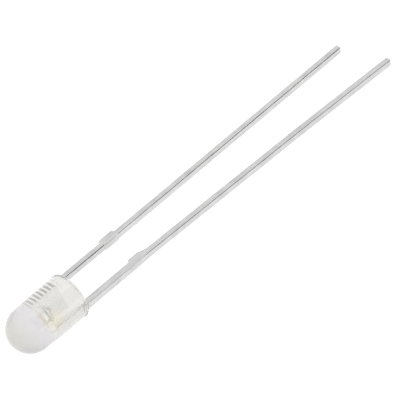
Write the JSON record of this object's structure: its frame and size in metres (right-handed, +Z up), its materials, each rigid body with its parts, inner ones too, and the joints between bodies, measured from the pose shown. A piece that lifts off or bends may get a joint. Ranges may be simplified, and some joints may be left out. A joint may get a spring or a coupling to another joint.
{
  "type": "through hole led",
  "caption": "Round 3 mm light emitting diode without a flange: clear domed epoxy lens, square leads with shoulders, the anode lead longer than the cathode lead.",
  "frame": {"origin": "centre of the bounding box, on the surface that the part lies on", "axes": "+X from the dome towards the lead tips, +Y towards the cathode lead, +Z up from the surface"},
  "size_m": [0.032, 0.0038, 0.0032],
  "materials": {
    "clear_epoxy": "water clear cast epoxy, glossy",
    "tinned_lead": "tin plated steel, satin",
    "die": "polished",
    "die_film": "filled adhesive, matt",
    "phosphor": "phosphor in clear resin, matt",
    "gold_wire": "drawn gold wire"
  },
  "bodies": {
    "root": {"lens_body": "clear_epoxy", "cathode_lead": "tinned_lead", "anode_lead": "tinned_lead", "led_chip": "die", "die_attach": "die_film", "phosphor_fill": "phosphor", "cathode_bond_wire": "gold_wire", "anode_bond_wire": "gold_wire"}
  },
  "joints": []
}
